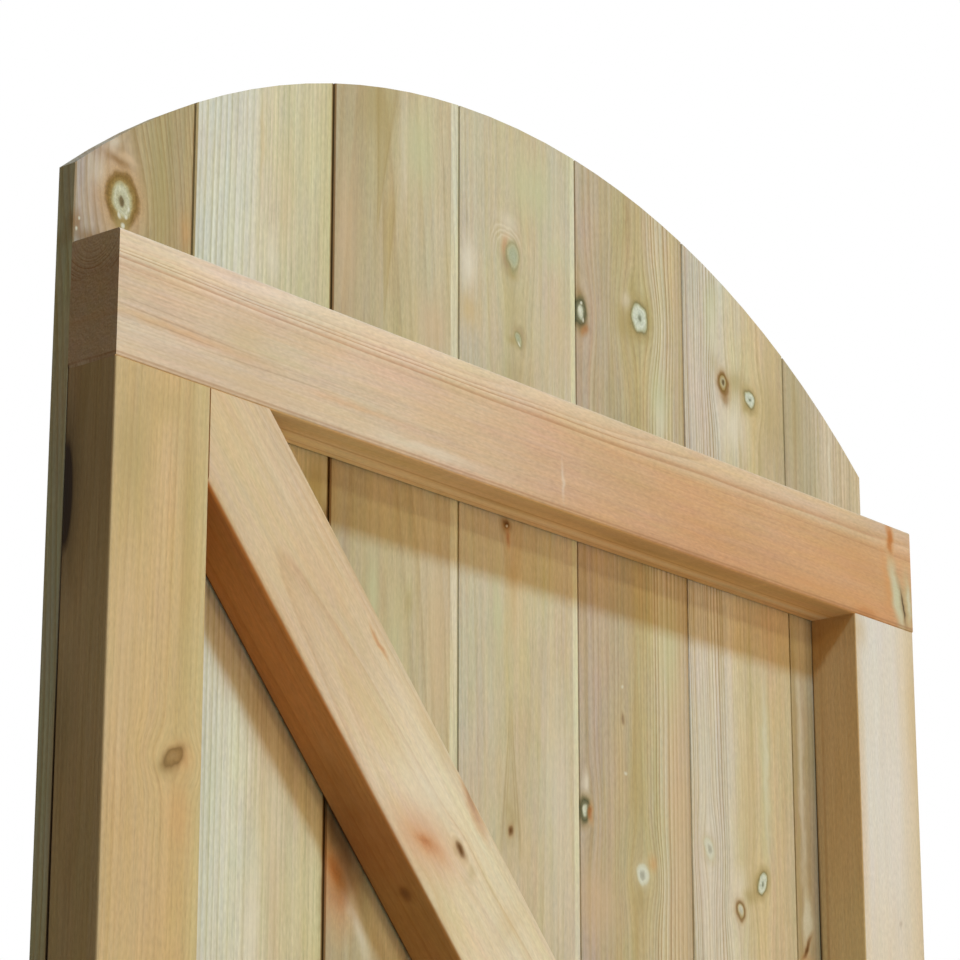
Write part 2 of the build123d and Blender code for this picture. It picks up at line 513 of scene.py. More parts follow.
def line_strength(n, look, bent, width):
    """Strength of the ring lines, which may differ across the timber."""
    if "line_zone" not in look:
        return look["lines"]
    stops = [(at, (level,) * 4) for at, level in look["line_zone"]]
    level = n.split(n.ramp(share_across(n, bent, width), stops)[0])[0]
    return n.math("MULTIPLY", level, look["lines"])


def tint_joints(n, tone, place, width, joints):
    """Edges that a joint has darkened, reaching in from the right, or if below 0 from the left."""
    across = n.split(place)[0]
    for reach, tint in joints:
        start = (width if reach > 0 else 0.0) - abs(reach)
        inwards = n.math("MULTIPLY", across, reach / abs(reach))
        inside = n.step(inwards, start - JOINT_BLUR, start + JOINT_BLUR)
        tone = n.tinted(inside, tone, tint)
    return tone


def paint_face_light_and_shade(n, tone, place, normal, faces):
    """Painted light and shade, a tint on faces facing one way that may change further along the timber.
    """
    along = n.split(place)[2]
    for direction, tint, *far in faces:
        facing = n.step(n.vector("DOT_PRODUCT", normal, direction), *FACE_TURN)
        if far:
            far_tint, span = far
            tint = n.mix(n.step(along, *span), tint, far_tint)
        tone = n.tinted(facing, tone, tint)
    return tone


def timber_material(name, corner, turn, width, look):
    """Wood for one timber: corner is where its millimetres start, turn is its grain's lean from
    upright about Y, in radians, and width is its size across the grain."""
    material, n = new_material(name + "_wood")
    coordinates = n.add("ShaderNodeTexCoord").outputs
    mapping = {
        "Vector": coordinates["Object"],
        "Location": corner,
        "Rotation": (0, turn, 0),
        "Scale": (MM,) * 3,
    }
    place = n.add("ShaderNodeMapping", mapping, vector_type="TEXTURE").outputs[0]
    normal = coordinates["Normal"]
    grain = (math.sin(turn), 0.0, math.cos(turn))
    along_grain = n.math("ABSOLUTE", n.vector("DOT_PRODUCT", normal, grain))
    end = n.step(along_grain, *END_GRAIN_TURN)

    bent = bend_grain(n, place, look["marks"])
    inputs = {
        "Place": bent,
        "Seed": tuple(shift * look["seed"] for shift in SEED_SHIFT),
        "Pith": (*look["pith"], 0.0),
        "Lean": (*look["lean"], 0.0),
        "Ring width": look["ring_width"],
        "Lines": line_strength(n, look, bent, width),
        "Fibre": tuple(share * look["fibre"] for share in FIBRE_TONE),
        "Dashes": look["dashes"],
        "Hue": look["hue"],
        "Base": base_tone(n, look, place, bent, width),
        "Late": look["late"],
        "End": end,
    }
    wood = n.add("ShaderNodeGroup", inputs, node_tree=WOOD).outputs
    tone = draw_marks(n, wood["Colour"], place, look["marks"])
    tone = tint_joints(n, tone, place, width, look.get("joints", []))
    tone = paint_face_light_and_shade(n, tone, place, normal, look.get("faces", []))

    relief = {
        "Strength": RELIEF_STRENGTH,
        "Distance": RELIEF_DEPTH,
        "Height": n.noise(n.scaled(place, RELIEF_SCALE), 1.0)[0],
    }
    roughness = n.step(wood["Fibre"], *FIBRE_ROUGHNESS)
    n.surface({
        "Base Color": tone,
        "Roughness": n.math("MULTIPLY_ADD", end, END_GRAIN_ROUGHNESS, roughness),
        "Normal": n.add("ShaderNodeBump", relief).outputs[0],
        "Specular IOR Level": 0.12,
    })
    return material


# Painted light and shade on faces, by the way they face: the latch side, the rails' ends, the
# hanging stile's inner side and the braces' lower side are painted darker and warmer as shade, and
# the boards' outer edges, the rail's underside and the lips in the board joints lighter as light.
# Each has the way it faces, its tint, and where it changes the tint further along and the stretch
# over which it changes. The braces' side takes its direction from their slope.
LATCH_SIDE_SHADE = ((-1.0, 0.0, 0.0), (0.66, 0.60, 0.52, 1.0), (0.58, 0.51, 0.44, 1.0), (560.0, 660.0))
RAIL_END_SHADE = ((-1.0, 0.0, 0.0), (0.76, 0.68, 0.60, 1.0))
BOARD_EDGE_LIGHT = ((-1.0, 0.0, 0.0), (1.24, 1.32, 1.20, 1.0))
INNER_SIDE_SHADE = ((-1.0, 0.0, 0.0), (0.84, 0.66, 0.38, 1.0), (0.79, 0.57, 0.32, 1.0), (420.0, 640.0))
UNDERSIDE_LIGHT = ((0.0, 0.0, -1.0), (1.41, 1.28, 0.91, 1.0), (1.17, 1.26, 1.10, 1.0), (80.0, 640.0))
BRACE_SIDE_SHADE = ((0.60, 0.35, 0.16, 1.0), (0.95, 0.51, 0.23, 1.0), (120.0, 360.0))
GAP_LIP_LIGHT = ((-1.0, 0.0, 0.0), (1.6, 1.5, 1.3, 1.0))

# Edges that the joints between boards have darkened: reach from the right, or below 0 the left
SOFT_JOINT = [(1.4, (0.86, 0.78, 0.62, 1.0))]
BROWN_JOINT = [(2.0, (0.50, 0.38, 0.25, 1.0)), (-1.4, (0.78, 0.68, 0.50, 1.0))]
DARK_JOINT = [(2.4, (0.34, 0.22, 0.12, 1.0)), (-1.6, (0.62, 0.48, 0.30, 1.0))]

# Looks of the timbers, with every length in the timber's own millimetres:
#   seed: shifts the noises, so that no two timbers match
#   pith, lean: middle of the rings across and in depth, and its drift for each millimetre along
#   ring_width, lines, line_zone: width of a year, strength of its line, and its level across
#   fibre, dashes, hue: strengths of the fibres, the dark dashes and the changes of hue
#   tones, far_tones, far_span: tones across, others further along, and the stretch between them
#   strip: start and tone of a pale strip at the right edge
#   late: tone of the ring lines
#   joints, faces, marks: as the constants above and draw_marks describe them
BOARD_LOOKS = {
    "board_1": {
        "seed": 1.3, "pith": (53.0, 40.0), "lean": (-0.10, 0.01), "ring_width": 3.9, "lines": 0.8,
        "fibre": 0.45, "dashes": 0.08, "hue": 1.0,
        "tones": [
            (0.0, colour(163, 158, 151)), (0.35, colour(175, 155, 130)), (0.62, colour(166, 151, 112)),
            (1.0, colour(172, 154, 117)),
        ],
        "late": colour(138, 112, 68), "joints": BROWN_JOINT,
        "marks": [
            ("whitish_and_lit", 18, 827, 8, 8, 20, 0.55), ("pinkish", 8, 806, 9, 10, 0, 0.2),
            ("amber", 36, 816, 15, 19, 0, 0.45), ("whitish_and_lit", 28, 848, 6, 3, 30, 0.6),
            ("khaki", 66, 826, 9, 30, 10, 0.6), ("amber", 84, 812, 5, 10, 0, 0.5),
            ("ringed", 35.5, 816.5, 12.4, 16.4), ("khaki", 36, 802, 6, 4.5),
            ("speck", 34, 806.5, 1.3, 2.2), ("speck", 38.5, 808.5, 1.4, 1.8),
            ("speck", 36, 801.5, 1.2, 1.6), ("speck", 40.5, 813, 1.0, 1.4),
            ("umber_and_shade", 32, 838.5, 8, 2.2, -12), ("pinkish", 40, 842, 6, 2),
            ("umber_and_shade", 12, 788, 11, 4, 10), ("umber_and_shade", 2.5, 794, 4.2, 6.4, 0, 1, 0, 5),
            ("speck", 3.8, 797, 1.1, 1.2, 0, 0.8, 0, 3), ("speck", 2.6, 790, 0.9, 1.4, 0, 0.8, 0, 3),
            # The gap mark is painted shade: the shadowed gap beside the latch stile
            ("gap_shade", 0, -35, 3.2, 745, 0, 1, 0, 1.0),
        ],
        "faces": [BOARD_EDGE_LIGHT],
    },
    "board_2": {
        "seed": 2.7, "pith": (-60.0, 10.0), "lean": (0.004, 0.0), "ring_width": 4.4, "lines": 1.0,
        "fibre": 0.5, "dashes": 0.12, "hue": 0.8,
        "tones": [
            (0.0, colour(202, 202, 188)), (0.42, colour(208, 203, 184)), (0.56, colour(201, 190, 160)),
            (1.0, colour(196, 186, 148)),
        ],
        "late": colour(176, 170, 134), "joints": DARK_JOINT,
        "marks": [
            ("buff", 54, 885, 2.0, 30, 0, 0.6), ("pinkish", 75, 855, 5, 30, 0, 0.5),
            # The umber mark at 50, 567 is the brace's shadow, painted on the framed face
            ("whitish_and_lit", 64, 818, 5, 16, 0, 0.7), ("umber_and_shade", 50, 567, 15, 100, 42.5, 0.72, 0, 5),
            ("whitish_and_lit", 58, 440, 5, 44, -3, 0.8), ("whitish_and_lit", 71, 500, 5, 60, 0, 0.35),
            ("buff", 67, 505, 5, 46, -4, 0.25), ("pinkish", 74, 440, 5, 50, 0, 0.5),
            # The umber mark at 115, 470 is painted shade of the brace at the joint with board_3
            ("umber_and_shade", 115, 470, 3.4, 40, 0, 1, 0, 5), ("khaki", 104, 692, 9, 16),
            ("umber_and_shade", 113, 673, 5, 9),
        ],
        "faces": [GAP_LIP_LIGHT],
    },
    "board_3": {
        "seed": 4.1, "pith": (58.0, 70.0), "lean": (-0.03, 0.03), "ring_width": 4.2, "lines": 0.36,
        "fibre": 0.45, "dashes": 0.08, "hue": 0.8,
        "tones": [
            (0.0, colour(172, 157, 128)), (0.28, colour(178, 165, 132)), (0.55, colour(190, 175, 140)),
            (0.78, colour(192, 180, 150)), (0.94, colour(188, 174, 142)),
        ],
        "strip": (106.6, colour(206, 200, 172)), "late": colour(150, 122, 78),
        "joints": [(2.0, (0.62, 0.58, 0.42, 1.0)), (-1.6, (0.45, 0.32, 0.20, 1.0))],
        "marks": [
            ("greenish", 76, 925, 12, 26, 0, 0.8), ("pinkish", 90, 815, 14, 18, 0, 0.8),
            ("pinkish", 12, 850, 10, 50, 0, 0.7), ("khaki", 36, 940, 13, 22, 0, 0.7),
            ("flame", 44, 920, 11, 62, -5, 0.8), ("flame", 48, 852, 7, 52, -3, 0.75),
            ("whitish_and_lit", 62, 905, 3, 40, 0, 0.4), ("greenish", 38, 640, 5, 22, 0, 0.9),
            ("khaki", 70, 640, 2.4, 8, 0, 0.7), ("greenish", 56, 600, 9, 40, 0, 0.6),
            ("pinkish", 94, 620, 8, 60, 0, 0.6), ("red", 12, 470, 14, 24, 0, 0.8),
            ("umber_and_shade", 6, 500, 5, 14), ("whitish_and_lit", 26, 453, 4, 24, 25, 0.8),
            ("umber_and_shade", 11, 470, 7, 10, 0, 0.9), ("resin", 8, 476, 7, 12, 20, 0.5),
            # The shade mark is the brace's cast shadow, painted on the framed face
            ("shade", 14, 490, 9, 32, 28, 0.95, 0, 5),
        ],
    },
    "board_4": {
        "seed": 5.9, "pith": (50.0, 60.0), "lean": (0.0, -0.04), "ring_width": 5.2, "lines": 0.38,
        "fibre": 0.34, "dashes": 0.08, "hue": 1.0,
        "tones": [
            (0.0, colour(190, 181, 158)), (0.3, colour(193, 180, 152)), (0.55, colour(191, 178, 144)),
            (0.8, colour(195, 184, 159)),
        ],
        "strip": (108.8, colour(208, 202, 174)), "late": colour(166, 140, 98), "joints": SOFT_JOINT,
        "marks": [
            ("greenish", 74, 931, 24, 20, 0, 0.75), ("greenish", 92, 894, 12, 10, 0, 0.6),
            ("pinkish", 95, 846, 14, 34, 0, 0.5), ("whitish_and_lit", 8, 864, 7, 14, 0, 0.9),
            ("whitish_and_lit", 46, 900, 8, 8, 0, 0.6), ("buff", 8, 834, 9, 12, 0, 0.9),
            ("khaki", 51, 846, 7, 26, 0, 0.6), ("khaki", 52, 804, 9, 12, 0, 0.6),
            ("arcs", 46, 878, 13, 18, 12, 0.8), ("resin", 44, 887, 3.6, 8.0, -14, 0.45),
            ("umber_and_shade", 45, 876, 4.5, 7, 14, 0.8), ("khaki", 51, 870, 6, 3.2),
            ("green", 51.5, 881, 6.2, 9.2), ("umber_and_shade", 58, 830, 5.5, 7, 35, 0.7),
            ("khaki", 51, 825, 5, 3.6, 0, 0.9), ("green", 57, 828, 3.6, 5.0, 30),
            ("speck", 58, 825, 1.2, 1.2), ("umber_and_shade", 45, 706, 5.0, 4.6), ("dark", 45, 708, 3.4, 3.2),
            ("speck", 45, 707, 1.2, 1.0), ("red", 46, 698, 2.4, 6, 0, 0.7),
            ("greenish", 36, 650, 4, 26, 0, 0.8), ("buff", 50, 660, 6, 26, 0, 0.6),
            ("vein", 48, 547, 11, 60, 180, 1.0), ("vein", 48, 551, 5.5, 38, 180, 0.9),
            ("khaki", 48, 529, 4, 12, 0, 0.6), ("dark", 47.5, 521, 2.4, 3.6),
            ("whitish_and_lit", 90, 551, 12, 60, 0, 0.4),
        ],
        "faces": [GAP_LIP_LIGHT],
    },
    "board_5": {
        "seed": 7.3, "pith": (-20.0, 32.0), "lean": (0.01, 0.015), "ring_width": 3.6, "lines": 1.5,
        "line_zone": [(0.0, 0.4), (0.55, 0.4), (0.68, 1.0), (0.86, 1.0), (0.95, 0.5)],
        "fibre": 0.48, "dashes": 0.1, "hue": 1.1,
        "tones": [
            (0.0, colour(181, 166, 146)), (0.3, colour(182, 167, 138)), (0.55, colour(184, 168, 128)),
            (0.75, colour(203, 192, 166)), (0.88, colour(199, 184, 155)), (1.0, colour(180, 164, 136)),
        ],
        "late": colour(158, 132, 88),
        "joints": [(2.2, (0.76, 0.64, 0.46, 1.0))],
        "marks": [
            ("greenish", 87, 822, 9, 22, 0, 1.0), ("whitish_and_lit", 87, 811, 6, 14, 0, 0.5),
            ("khaki", 109, 850, 5, 80, 0, 0.3), ("umber_and_shade", 54, 942, 1.6, 18, 0, 0.5),
            ("khaki", 49, 868, 8, 11, 0, 0.9), ("khaki", 60, 892, 5, 11, -12, 0.8),
            ("khaki", 36, 831, 3, 30, 0, 0.5), ("whitish_and_lit", 54, 884, 5, 5, 0, 0.6),
            ("khaki", 62, 864, 9, 6, 0, 0.7), ("pale", 67, 876, 9.4, 10.8),
            ("umber_and_shade", 3, 874, 3, 5, 0, 0.8), ("edge", 3.8, 863.5, 7.0, 10.0),
            ("speck", 3, 864, 1.8, 2.4), ("speck", 6, 859, 1.2, 1.5), ("speck", 4.5, 869, 1.2, 1.2),
            ("umber_and_shade", 8, 853, 5, 4, 0, 0.8), ("resin", 8, 852.5, 3.6, 3.0, 0, 0.4),
            ("greenish", 94, 655, 9, 34, 0, 1.0), ("flame", 58, 592, 8, 78, 180, 0.55),
            ("pinkish", 100, 560, 12, 100, 0, 0.7), ("pinkish", 18, 489, 18, 22, 0, 0.8),
            ("khaki", 54, 470, 3, 22, 0, 0.6), ("khaki", 76, 551, 1.8, 60, 0, 0.5),
            ("khaki", 60, 499, 6, 12, 0, 0.7), ("amber", 73, 521, 4, 5, 0, 0.6),
            ("disc", 63, 512, 7.0, 7.2), ("whitish_and_lit", 5, 561, 3, 6), ("edge", 4.5, 544, 5.4, 8.0),
            ("speck", 3.5, 545, 1.2, 1.8, 0, 0.7), ("red", 10, 543, 2.4, 6, 0, 0.8),
            ("dark", 43.6, 607, 1.6, 3.6, 0, 0.6), ("speck", 44, 627, 1.4, 1.6, 0, 0.7),
            ("speck", 47, 573, 1.4, 1.6, 0, 0.7),
        ],
        "faces": [GAP_LIP_LIGHT],
    },
    "board_6": {
        "seed": 8.8, "pith": (120.0, 36.0), "lean": (-0.01, 0.0), "ring_width": 3.0, "lines": 1.3,
        "line_zone": [(0.0, 1.0), (0.28, 1.0), (0.4, 0.35), (1.0, 0.35)],
        "fibre": 0.44, "dashes": 0.08, "hue": 0.95,
        "tones": [
            (0.0, colour(197, 188, 170)), (0.2, colour(205, 197, 180)), (0.32, colour(204, 196, 178)),
            (0.48, colour(201, 191, 160)), (0.65, colour(200, 184, 146)), (0.85, colour(196, 177, 142)),
            (1.0, colour(188, 172, 138)),
        ],
        "late": colour(166, 144, 110), "joints": SOFT_JOINT,
        "marks": [
            ("greenish", 31, 902, 6, 20, 0, 0.9), ("whitish_and_lit", 33, 889, 4, 22, 0, 0.6),
            ("whitish_and_lit", 56, 826, 12, 16, 0, 0.9), ("khaki", 98, 844, 13, 36, 0, 0.55),
            ("khaki", 57, 860, 14, 8, 0, 0.8), ("khaki", 34, 866, 4, 9, 0, 0.5),
            ("khaki", 62, 812, 2.2, 18, 0, 0.6), ("khaki", 84, 809, 3, 16, 0, 0.5),
            ("umber_and_shade", 45, 846, 4.0, 4.6), ("eye", 43.8, 855.5, 6.0, 8.0),
            ("khaki", 70, 844.5, 6, 5, 0, 1.0), ("pale", 74.5, 851, 7.0, 6.0, -25),
            ("khaki", 36, 700, 2, 40, 0, 0.5), ("whitish_and_lit", 16, 560, 14, 90, 0, 0.4),
            ("greenish", 82, 600, 4.5, 56, 0, 1.0), ("whitish_and_lit", 83, 610, 2.5, 50, 0, 0.5),
            ("buff", 60, 560, 12, 90, 0, 0.5), ("khaki", 66, 640, 2.5, 50, 0, 0.4),
            ("khaki", 18, 539, 7.5, 10, 25, 0.5), ("disc", 18, 539, 4.6, 8.0, 25, 0.8),
            ("whitish_and_lit", 50, 520, 7, 10, 0, 0.6), ("khaki", 63, 514, 7, 4.6, 0, 0.9),
            ("khaki", 72, 525, 6.5, 8.5, -20, 0.8), ("pale", 76, 524, 5.2, 8.0, -24),
            ("eye", 51.0, 502.5, 5.0, 5.8, 0, 0.9), ("speck", 51, 503, 2.2, 2.6, 0, 0.8),
        ],
        "faces": [GAP_LIP_LIGHT],
    },
    "board_7": {
        "seed": 9.6, "pith": (-20.0, 30.0), "lean": (0.02, 0.0), "ring_width": 3.6, "lines": 0.55,
        "fibre": 0.42, "dashes": 0.08, "hue": 0.8,
        "tones": [
            (0.0, colour(178, 165, 136)), (0.35, colour(186, 174, 146)), (0.5, colour(200, 188, 163)),
            (1.0, colour(198, 183, 156)),
        ],
        # Below the top rail the far tones are darker: painted shade beside the hanging stile
        "far_tones": [
            (0.0, colour(170, 148, 110)), (0.10, colour(167, 149, 114)), (0.24, colour(164, 147, 115)),
            (1.0, colour(186, 168, 138)),
        ],
        "far_span": (700.0, 640.0), "late": colour(146, 120, 82),
        "marks": [
            # The shade mark is painted shade beside the hanging stile, on the framed face
            ("shade", 26, 230, 8, 420, 0, 0.42, 0, 5), ("khaki", 41, 840, 1.4, 50, 0, 0.6),
            ("whitish_and_lit", 54, 830, 2.2, 40, 0, 0.7), ("khaki", 14, 850, 8, 30, 0, 0.5),
            ("whitish_and_lit", 9, 600, 3, 90, 0, 0.5), ("khaki", 3, 560, 1.6, 120, 0, 0.7),
            ("smear", 12, 506, 6, 16, 0, 0.6), ("dark", 10, 488, 2.2, 9, -35), ("red", 10, 462, 9, 16),
        ],
        "faces": [GAP_LIP_LIGHT],
    },
}

FRAME_LOOKS = {
    "top_rail": {
        "seed": 3.3, "pith": (-2.0, 20.0), "lean": (0.012, 0.01), "ring_width": 2.1, "lines": 1.0,
        "line_zone": [
            (0.0, 0.15), (0.12, 0.5), (0.2, 1.0), (0.27, 1.0), (0.33, 0.22), (0.6, 0.12), (1.0, 0.2),
        ],
        "fibre": 0.26, "dashes": 0.06, "hue": 0.8,
        "tones": [
            (0.0, colour(221, 200, 176)), (0.2, colour(217, 196, 171)), (0.3, colour(207, 182, 155)),
            (0.62, colour(205, 184, 158)), (0.85, colour(205, 186, 162)), (1.0, colour(207, 188, 165)),
        ],
        "far_tones": [
            (0.0, colour(212, 188, 158)), (0.2, colour(208, 180, 147)), (0.3, colour(200, 162, 124)),
            (1.0, colour(195, 152, 112)),
        ],
        "far_span": (110.0, 540.0), "late": colour(166, 116, 76),
        "marks": [
            ("amber", 46, 50, 3.0, 62, 0, 0.5), ("amber", 52, 190, 2.2, 40, 0, 0.4),
            ("line", 38, 30, 0.6, 34, -1, 0.25), ("line", 43, 52, 0.7, 56, -1.5, 0.36),
            ("line", 47, 46, 0.6, 40, -1, 0.32), ("line", 50, 120, 0.6, 60, 1, 0.28),
            # The whitish mark at 63, 250 is a painted sheen low on the front
            ("whitish_and_lit", 63, 250, 3, 46, 0, 0.6), ("whitish_and_lit", 52, 375, 11, 1.3, 0, 0.6),
            ("buff", 36, 95, 9, 18, 0, 0.5), ("pinkish", 62, 90, 7, 60, 0, 0.5),
            ("resin", 68, 705, 5, 16, 0, 0.5), ("amber", 62, 660, 6, 60, 0, 0.5),
            ("amber", 36, 690, 12, 36, 0, 0.5), ("amber", 42, 731, 22, 5, 6, 0.8),
            ("resin", 11, 736.5, 15, 4.2, 3), ("smear", 50, 744, 24, 5.8, 16),
            ("greenish", 50, 744, 24, 5.8, 16, 0.8), ("greenish", 52, 757, 20, 5, 6, 0.9),
            ("smear", 50, 758, 12, 2.4, 6, 0.7), ("umber_and_shade", 54, 750, 17, 2.6, 16, 0.9),
            ("crack", 55, 750.4, 14, 1.2, 16, 0.8), ("arris", 68.6, 380, 0.9, DEEP, 0, 0.55),
            # On the underside the umber mark at depth 8 is painted shade along its front, the whitish
            # mark at depth 25 painted bounce light at its back, and the gap mark at depth 36 painted
            # shade at the boards
            ("umber_and_shade", 71, 380, 2.5, DEEP, 0, 0.5, 8, 10), ("arris", 71, 380, 3, DEEP, 0, 0.5, 19, 1.2),
            ("whitish_and_lit", 71, 380, 3, DEEP, 0, 0.35, 25, 3), ("umber_and_shade", 71, 330, 3, 44, 0, 0.45, 21, 3),
            ("umber_and_shade", 71, 470, 3, 36, 0, 0.5, 14, 3), ("umber_and_shade", 71, 590, 3, 30, 0, 0.4, 26, 2.5),
            ("arris", 71, 380, 3, DEEP, 0, 0.35, 30, 0.8), ("gap_shade", 71, 380, 3, DEEP, 0, 0.7, 36, 1.6),
        ],
        "faces": [RAIL_END_SHADE, UNDERSIDE_LIGHT],
    },
    "middle_rail": {
        "seed": 6.1, "pith": (20.0, 52.0), "lean": (0.01, 0.03), "ring_width": 3.6, "lines": 0.32,
        "fibre": 0.26, "dashes": 0.04, "hue": 0.6,
        "tones": [(0.0, colour(210, 182, 146)), (1.0, colour(214, 192, 160))],
        "late": colour(176, 134, 92),
        "marks": [("dark", 30.0, 210.0, 8.0, 10.0), ("pale", 52.0, 480.0, 6.0, 7.0)],
    },
    "bottom_rail": {
        "seed": 7.7, "pith": (60.0, 40.0), "lean": (-0.02, 0.02), "ring_width": 3.2, "lines": 0.36,
        "fibre": 0.26, "dashes": 0.04, "hue": 0.6,
        "tones": [(0.0, colour(206, 178, 140)), (1.0, colour(202, 172, 134))],
        "late": colour(168, 126, 84),
        "marks": [("dark", 24.0, 330.0, 7.0, 9.0), ("ringed", 44.0, 610.0, 9.0, 11.0)],
        "faces": [RAIL_END_SHADE],
    },
    "latch_stile": {
        "seed": 2.2, "pith": (-40.0, 24.0), "lean": (0.03, 0.0), "ring_width": 3.6, "lines": 0.36,
        "fibre": 0.30, "dashes": 0.08, "hue": 0.7,
        "tones": [
            (0.0, colour(194, 168, 126)), (0.4, colour(198, 171, 128)), (0.8, colour(196, 169, 122)),
            (0.96, colour(194, 176, 132)),
        ],
        "late": colour(164, 134, 82),
        "marks": [
            ("khaki", 14, 660, 14, 40, 0, 0.7), ("khaki", 56, 620, 5, 90, 0, 0.6),
            ("pinkish", 10, 560, 9, 50, 0, 0.4), ("khaki", 40, 695, 14, 10, 0, 0.4),
            ("amber", 57, 508, 8, 7, 0, 0.6), ("amber", 55, 478, 8, 18, 0, 0.45),
            ("khaki", 43, 500, 6, 4, 0, 0.7), ("umber_and_shade", 50, 506, 11, 5, 38, 0.5),
            # The shade and gap marks at the back of the side are painted shade in the gap against the
            # boards
            ("oval", 50, 506, 8.6, 4.2, 38, 0.9), ("shade", 0, 645, 4, 40, 0, 1, 33, 8),
            ("gap_shade", 0, 642, 6, 34, 0, 1, 34, 6), ("shade", 0, 520, 3, 30, 0, 0.25, 30, 9),
            ("gap_shade", 0, -35, DEEP, 745, 0, 1, 36.4, 2.6), ("pale", 20.0, -120.0, 7.0, 9.0),
            ("eye", 46.0, -505.0, 6.0, 7.0),
        ],
        "faces": [LATCH_SIDE_SHADE],
    },
    "hanging_stile": {
        "seed": 1.7, "pith": (40.0, 90.0), "lean": (0.0, 0.02), "ring_width": 6.0, "lines": 0.12,
        "fibre": 0.12, "dashes": 0.02, "hue": 0.35,
        "tones": [
            (0.0, colour(212, 194, 168)), (0.12, colour(214, 209, 200)), (0.6, colour(216, 210, 201)),
            (0.85, colour(214, 200, 176)), (1.0, colour(206, 190, 160)),
        ],
        "far_tones": [
            (0.0, colour(216, 205, 186)), (0.6, colour(217, 206, 188)), (1.0, colour(210, 195, 170)),
        ],
        "far_span": (590.0, 440.0), "late": colour(196, 170, 130),
        "faces": [INNER_SIDE_SHADE],
        "marks": [
            ("buff", 66, 650, 8, 50, 0, 0.5), ("buff", 4, 700, 8, 10, 0, 0.6),
            # The gap mark is painted shade where the stile meets the boards
            ("umber_and_shade", 43.5, 507, 1.6, 2.2, 0, 0.45), ("gap_shade", 0, -35, DEEP, 745, 0, 0.9, 36.6, 5.0),
            ("arris", 0, -35, DEEP, 745, 0, 0.7, 29, 1.5), ("eye", 26.0, -60.0, 6.0, 8.0),
            ("pale", 50.0, -430.0, 8.0, 10.0),
        ],
    },
    "upper_brace": {
        "seed": 5.2, "pith": (-14.0, 46.0), "lean": (0.0, 0.03), "ring_width": 4.0, "lines": 0.36,
        "fibre": 0.20, "dashes": 0.06, "hue": 0.8,
        "tones": [
            (0.0, colour(215, 200, 171)), (0.3, colour(215, 202, 173)), (0.5, colour(213, 197, 169)),
        ],
        "far_tones": [
            (0.0, colour(203, 181, 148)), (0.3, colour(204, 183, 151)), (0.5, colour(201, 178, 146)),
        ],
        "far_span": (190.0, 330.0), "late": colour(170, 128, 86),
        "marks": [
            ("whitish_and_lit", 2, 196, 14, 22, 0, 0.5), ("buff", 30, 215, 6, 26, 0, 0.6),
            ("buff", -30, 150, 6, 40, 0, 0.5), ("salmon", -17, 178, 15, 30, 24, 0.9),
            ("resin", -16, 174, 6.0, 17, 24, 0.4), ("red", -17, 177, 2.6, 8, 24, 0.6),
            ("red", 31, 168, 3.6, 20, -10, 0.6), ("umber_and_shade", 34, 176, 2.5, 8, -10, 0.5),
            ("khaki", 4, 141, 5, 4, 0, 0.5), ("dark", 5, 156, 3.4, 6.0, -6),
            ("umber_and_shade", -35.5, 226, 6, 30, 0, 0.5, 20, 10),
            ("whitish_and_lit", -35.5, 252, 6, 10, 0, 0.35, 17, 7),
            ("whitish_and_lit", -35.5, 224, 6, 7, 0, 0.3, 19, 6), ("whitish_and_lit", -35.5, 198, 6, 7, 0, 0.3, 16, 6),
            ("dark", -35.5, 156, 4, 5.0, 0, 0.6, 14, 4.0), ("resin", 25, 282, 1.6, 12, -4, 0.6),
            ("buff", -8, 260, 8, 30, 0, 0.4), ("buff", 12, 100, 14, 8, 0, 0.4),
            # The gap mark is painted shade where the brace meets the boards
            ("eye", 8.0, -260.0, 6.0, 8.0), ("gap_shade", 0, 0, DEEP, DEEP, 0, 0.75, 36.4, 3.0),
        ],
    },
    "lower_brace": {
        "seed": 6.6, "pith": (20.0, 44.0), "lean": (0.0, -0.03), "ring_width": 4.2, "lines": 0.26,
        "fibre": 0.26, "dashes": 0.04, "hue": 0.8,
        "tones": [(0.0, colour(212, 188, 154)), (1.0, colour(208, 182, 146))],
        "late": colour(178, 138, 94),
        "marks": [("dark", -10.0, 120.0, 7.0, 9.0), ("pale", 12.0, -190.0, 5.0, 7.0)],
    },
}

# Slope of the braces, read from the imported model
GRAIN_ALONG_X = math.pi / 2
panel_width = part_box("upper_brace")[1].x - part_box("upper_brace")[0].x
panel_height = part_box("upper_brace")[1].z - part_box("upper_brace")[0].z
BRACE_TURN = -math.atan2(panel_width, panel_height)
BRACE_SIDE_NORMAL = (-math.cos(BRACE_TURN), 0.0, math.sin(BRACE_TURN))

BOARD_NUMBERS = range(1, 8)
RAIL_NAMES = ("top_rail", "middle_rail", "bottom_rail")

# Lower part of the boards, in millimetres above their foot and above the gate's middle, where a
# few knots are added: their places as shares of that length, and their kinds
BARE_FOOT = 60.0
BARE_TOP = 380.0
ADDED_KNOT_PLACES = (0.15, 0.5, 0.82)
ADDED_KNOT_KINDS = ["pale", "dark", "eye", "green", "ringed"]


def paint(node_name, corner, turn, width, look):
    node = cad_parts[node_name]
    node.data.materials.clear()
    node.data.materials.append(timber_material(node_name, corner, turn, width, look))


def added_knots(rng, width, low, high):
    """A few plausible knots between two heights of a board."""
    knots = []
    for share in ADDED_KNOT_PLACES:
        along = low + (high - low) * (share + rng.uniform(-0.1, 0.1))
        half = rng.uniform(4.0, 8.5)
        across = rng.uniform(0.2, 0.8) * width
        knots.append((rng.choice(ADDED_KNOT_KINDS), across, along, half, half * rng.uniform(1.1, 1.4)))
    return knots


